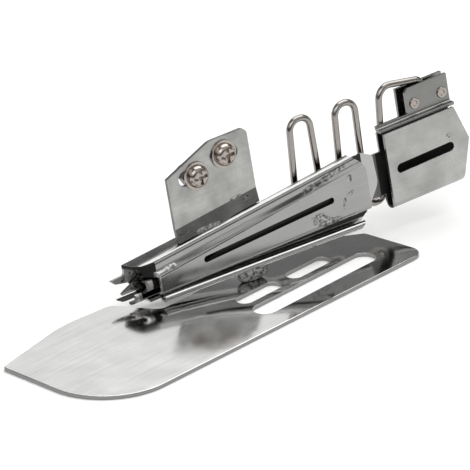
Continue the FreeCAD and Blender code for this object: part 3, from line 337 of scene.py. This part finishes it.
def rolled_metal(name, colour, gloss, haze, line_depth, in_folder=True, cloud=0.055, marks=(),
                 pit_shade_spots=(), zones=(), worn=(), wear=0.10, dish=None):
    """Sheet or wire with fine lines along its rolling direction, cloudy wiping and a soft sheen.
    Marks are darker, duller, lumpy spots: solder smears, and inside the nib painted shade. Pit
    shade spots are small dots painted dark, painted shade for pits, and worn spots are duller. A
    zone is (ranges, brightness, dulling): it sets an area darker or brighter, which the folder,
    sleeve and bracket use for painted shade and the rims for painted highlights. A dish is
    (direction, its foot along that in mm, the slope, and the x in mm at which it sets in and at
    which it is full)."""
    metal = bpy.data.materials.new(name)
    metal.use_nodes = True
    tree = metal.node_tree
    tree.nodes.clear()
    place = add(tree, "ShaderNodeTexCoord").outputs["Object"]
    if in_folder:
        place = add(tree, "ShaderNodeMapping",
                    {"vector_type": "TEXTURE", "Location": FOLDER_PLACE, "Rotation": FOLDER_TURNS},
                    {"Vector": place}).outputs["Vector"]
    drawn_out = add(tree, "ShaderNodeMapping", {"Scale": LINE_SCALE},
                    {"Vector": place}).outputs["Vector"]
    lines = cloudy(tree, drawn_out, 1.0, 3.0, 0.6)
    clouds = cloudy(tree, place, CLOUD_SCALE, 4.0, 0.55)
    waves = cloudy(tree, place, WAVE_SCALE, 1.0)
    dullness = ranged(tree, clouds, 0.35, 0.7, gloss, gloss + haze)
    shade = times(tree, ranged(tree, lines, 0.3, 0.7, *LINE_SHADE),
                  ranged(tree, clouds, 0.3, 0.7, 1 - cloud, 1 + cloud))
    relief = [(lines, line_depth), (waves, WAVE_DEPTH)]
    if worn:
        rubbed = ranged(tree, nearest(tree, place, worn, 0.15), 1.2, 0.5, 0.0, wear)
        dullness = figure(tree, "ADD", dullness, rubbed)
    if dish:
        toward, foot, slope, start, full = dish
        rise = figure(tree, "SUBTRACT", along(tree, place, toward), foot * MM)
        share = ranged(tree, along(tree, place, ALONG), start * MM, full * MM, 0.0, slope)
        relief.append((times(tree, rise, share), 1 / MM))
    if marks:
        # Marks darken solder smears, and inside the nib they are painted shade.
        smear_and_shade = ranged(tree, nearest(tree, place, marks, 0.55), 1.0, 0.75, 0.0, 1.0)
        lumps = cloudy(tree, place, SMEAR_SCALE, 2.0)
        dirt_and_shade = ranged(tree, lumps, 0.38, 0.62, *SMEAR_AND_NIB_SHADE)
        shade = times(tree, shade, figure(tree, "MULTIPLY_ADD", smear_and_shade, dirt_and_shade, 1.0))
        dullness = figure(tree, "MULTIPLY_ADD", smear_and_shade, SMEAR_DULLING, dullness)
        relief.append((times(tree, smear_and_shade, lumps), SMEAR_DEPTH))
    if pit_shade_spots:
        # Pits are painted dark, as painted shade.
        shaded_pit = ranged(tree, nearest(tree, place, pit_shade_spots, 0.1), 0.8, 1.15, 0.2, 1.0)
        shade = times(tree, shade, shaded_pit)
    # Zones paint shade and highlights into the colour.
    for ranges, brightness, dulling in zones:
        within = inside(tree, place, ranges)
        shade = times(tree, shade, ranged(tree, within, 0.0, 1.0, 1.0, brightness))
        dullness = figure(tree, "MULTIPLY_ADD", within, dulling, dullness)
    tint = add(tree, "ShaderNodeMix", {"data_type": "RGBA", "blend_type": "MULTIPLY", 0: 1.0,
                                       6: tone(colour)}, {7: shade}).outputs[2]
    normal = None
    for height, depth in relief:
        bump = add(tree, "ShaderNodeBump", {"Strength": 1.0, "Distance": depth * MM},
                   {"Height": height})
        if normal:
            tree.links.new(normal, bump.inputs["Normal"])
        normal = bump.outputs["Normal"]
    finish = add(tree, "ShaderNodeBsdfPrincipled", {"Metallic": 1.0},
                 {"Base Color": tint, "Roughness": dullness, "Normal": normal})
    add(tree, "ShaderNodeOutputMaterial", links={"Surface": finish.outputs["BSDF"]})
    return metal


def finished(nodes, metal):
    """Breaks the edges of the named nodes and gives them their finish: (node, edge in mm)."""
    for node, edge in nodes:
        piece = softened(node, edge)
        piece.data.materials.clear()
        piece.data.materials.append(metal)


# Stainless buffed to a mirror, for the plate: nearly white, with the faint haze of a wiping cloth.
# The leaf's mesh is flat. The dish is in its shading alone, up to 7 degrees, and squeezes the
# mirror images in it as the photo shows them.
WORN_LEAF = ((-64, 0, 1), (36, 40, 9), 0)
CUT_EDGE = ((UP, -1, 0.88),)
LEAF_DISH = ((0.76, 0.65, 0), -20, 0.13, -4, -30)
mirror_stainless = rolled_metal("mirror_polished_stainless", "#cfcfce", 0.08, 0.06, 0.0002,
                                in_folder=False, worn=(WORN_LEAF,), wear=0.06,
                                zones=((CUT_EDGE, 0.45, 0.2),), dish=LEAF_DISH)
finished([("base_plate", 0.07)], mirror_stainless)

# Folder: the front shell, back sheet, fabric channel, inner scroll, lower curl and exit wing are
# thin stainless sheets, rolled by hand over a former, soldered together and buffed bright. Solder
# and the torch have left smears near the mouth and the exit.

FOLDER_SMEARS = (
    ((3.4, 0, 8.1), (3.2, 1, 1.0), 3),
    ((45.6, 0, 12.6), (2.2, 1, 1.0), 12),
    ((51.0, 0, 13.6), (7.5, 1, 0.8), 12),
    ((47.5, 0, 4.2), (2.6, 1, 1.8), -10),
    ((50.5, 0, 2.6), (3.4, 1, 1.1), -5),
    ((55.3, 0, 5.9), (1.5, 1, 0.5), 70),
    ((57.4, 0, 7.6), (1.2, 1, 0.5), 20),
    ((57.8, 0, 11.4), (0.8, 1, 1.0), 0),
)
# The slanted lines that the folder's sheets follow: its top climbs to the mouth, its floor and its
# front and back come closer together.
TOP_LINE = (-0.103, 0, 1)
FLOOR_LINE = (0.035, 0, 1)
SHELL_LINE = (0.0206, 1, 0)
BACK_LINE = (0.048, 1, 0)
# Painted shade: the inner faces are set to a tenth of the sheet's brightness and made duller, far
# darker than bare stainless is, so that the slots and the exit look as black as the shade inside
# makes them.
INSIDE_PAINTED_SHADE = (0.10, 0.35)
SHELL_INSIDE = ((ALONG, -0.1, 62.6), (SHELL_LINE, 1.85, 20), (BACK_LINE, 0, 6.45),
                (TOP_LINE, -20, 9.72))
# The corner behind the exit takes the same painted shade as the inner faces.
SHELL_CORNER = ((ALONG, -9, -0.1), (BACK, 1.2, 20), (UP, 0, 9.9))
# Painted highlight: the lip at the exit is set brighter.
SHELL_LIP_HIGHLIGHT = ((ALONG, -3, 0.02), (BACK, -1, 0.9), (UP, 0, 9.9))

# Buffed stainless of the outer shell: mid grey with soft wiping clouds. Its inner faces and the
# corner behind its exit carry painted shade, and its exit lip is painted nearly twice as bright as
# a painted highlight.
shell_stainless = rolled_metal("buffed_shell_stainless", "#9d9d9c", 0.12, 0.10, 0.0004,
                               marks=FOLDER_SMEARS,
                               zones=((SHELL_INSIDE, *INSIDE_PAINTED_SHADE), (SHELL_CORNER, *INSIDE_PAINTED_SHADE),
                                      (SHELL_LIP_HIGHLIGHT, 1.9, 0.1)))
finished([("front_shell", 0.1)], shell_stainless)

# Buffed stainless of the sheets behind it, a little lighter, with its inner faces in painted shade
# and small dark dots painted in the small flap at the exit as painted shade for its pits.
FLAP_PIT_SHADES = (((-4.4, 7.2, 7.6), (0.28, 2, 0.28), 0), ((-3.4, 7.2, 7.1), (0.28, 2, 0.28), 0),
             ((-6.3, 7.6, 5.9), (0.32, 2, 0.32), 0))
WORN_FLAP = (((-4.5, 6.9, 8.0), (4.0, 1.2, 4.0), 0), ((-7.0, 7.4, 6.5), (4.0, 1.2, 2.6), 0))
FOLDER_INSIDE = ((ALONG, -1.2, 62.6), (BACK, 0.78, 20), (BACK_LINE, 0, 6.45),
                 (FLOOR_LINE, 2.3, 40), (TOP_LINE, -20, 9.72))
buffed_stainless = rolled_metal("buffed_stainless_sheet", "#adadac", 0.12, 0.10, 0.0004,
                                pit_shade_spots=FLAP_PIT_SHADES, zones=((FOLDER_INSIDE, *INSIDE_PAINTED_SHADE),),
                                worn=WORN_FLAP, wear=0.25)
finished([("back_sheet", 0.08), ("fabric_channel", 0.08), ("exit_wing", 0.08)],
         buffed_stainless)

# Darker stainless for the nib and the small curl under it. A mottled patch inside the nib is
# painted darker as painted shade, and their rims are painted highlights, set about twice as bright.
NIB_INSIDE_SHADE = ((-4.0, 4.6, 4.8), (2.4, 1.7, 1.6), 0)
NIB_RIM_HIGHLIGHT = ((ALONG, -9, -1.3), (BACK, 0, 2.35), (UP, 2.5, 8))
CURL_RIM_HIGHLIGHT = ((ALONG, -6.2, -5.2), (BACK, 0, 4.2), (UP, 0, 4))
darkened_stainless = rolled_metal("darker_nib_stainless", "#8b8a88", 0.20, 0.12, 0.0004,
                                  marks=(NIB_INSIDE_SHADE,),
                                  zones=((FOLDER_INSIDE, *INSIDE_PAINTED_SHADE), (NIB_RIM_HIGHLIGHT, 2.2, 0.1),
                                         (CURL_RIM_HIGHLIGHT, 1.9, 0.1)))
finished([("inner_scroll", 0.11), ("lower_curl", 0.11)], darkened_stainless)

# Rear bracket: 1 mm stainless, cut and slotted in a press and bent a little near its foot. It keeps
# the sheet's satin mill finish, cloudy from handling, with specks of solder along its foot. The
# foot below the bend and the edges are painted at half brightness and made duller, as painted
# shade.

BRACKET_SPECKS = (((9.6, 2.2, 13.7), (1.6, 2, 0.6), 5), ((25.8, 2.2, 17.0), (2.0, 2, 0.5), 5),
                  ((29.0, 2.2, 16.0), (1.5, 2, 0.5), 5))
BRACKET_FOOT_SHADE = ((TOP_LINE, -9, 14.2),)
BRACKET_EDGE_SHADE = ((TOP_LINE, 14.3, 60), (BACK, 2.62, 3.38))
bracket_stainless = rolled_metal("satin_bracket_stainless", "#a5a5a3", 0.22, 0.08, 0.0008,
                                 cloud=0.30, marks=BRACKET_SPECKS,
                                 zones=((BRACKET_FOOT_SHADE, 0.5, 0.1), (BRACKET_EDGE_SHADE, 0.5, 0.1)))
finished([("rear_bracket", 0.2)], bracket_stainless)

# Tape sleeve, riveted tab and rear holder: satin sheet of 0.8 mm, folded on a brake. The sleeve's
# inner faces and its neck to the folder carry painted shade, as the folder's inner faces do, the
# neck less dark, and the tab is of a darker sheet.

SCRATCH = ((89.0, 0.4, 11.6), (0.8, 1, 0.6), 0)
BETWEEN_LEAVES = ((BACK, 1.15, 3.3), (UP, -9, 18.1))
SLEEVE_NECK_SHADE = ((ALONG, 60, 68.3), *BETWEEN_LEAVES)
SLEEVE_INSIDE = ((ALONG, 68.4, 99), *BETWEEN_LEAVES)
satin_stainless = rolled_metal("satin_stainless_sheet", "#a8a8a6", 0.22, 0.08, 0.0008,
                               cloud=0.20, marks=(SCRATCH,),
                               zones=((SLEEVE_INSIDE, *INSIDE_PAINTED_SHADE), (SLEEVE_NECK_SHADE, 0.45, 0.2)))
finished([("tape_sleeve", 0.12)], satin_stainless)
# The tab's and the holder's satin stainless is darker and more even.
tab_stainless = rolled_metal("satin_tab_stainless", "#868684", 0.22, 0.08, 0.0008, cloud=0.10)
finished([("sleeve_tab", 0.12), ("rear_holder", 0.1)], tab_stainless)

# Screws, washers, nuts and rivets: nickel-plated steel, pressed and turned. The plating is warm
# grey and bright; the nuts behind the bracket are painted dark, as painted shade.

nickel = rolled_metal("bright_nickel_plate", "#aba39c", 0.13, 0.12, 0.0005)
finished([("first_washer", 0.06), ("second_washer", 0.06), ("first_screw", 0.06),
          ("second_screw", 0.06), ("left_rivet", 0.04), ("right_rivet", 0.04)],
         nickel)
shaded_nut_nickel = rolled_metal("shade_darkened_nut_nickel", "#56524f", 0.25, 0.15, 0.0005)
finished([("first_nut", 0.1), ("second_nut", 0.1)], shaded_nut_nickel)

# Wire guide: 1.7 mm steel wire, drawn through a die, coated thinly with nickel and bent cold round
# pins. Handling has left it half bright.

drawn_wire = rolled_metal("drawn_nickelled_wire", "#9c9793", 0.14, 0.10, 0.0008)
finished([("wire_guide", 0)], drawn_wire)

# Solder: tin solder run in at the joints with the torch and left as it set, dull and a little
# lumpy all over.

ALL_OVER = ((20, 0, 5), (60, 60, 60), 0)
tin_solder = rolled_metal("set_tin_solder", "#9c9c9a", 0.30, 0.2, 0.002, marks=(ALL_OVER,))
finished([("solder_foot", 0), ("solder_bracket", 0)], tin_solder)
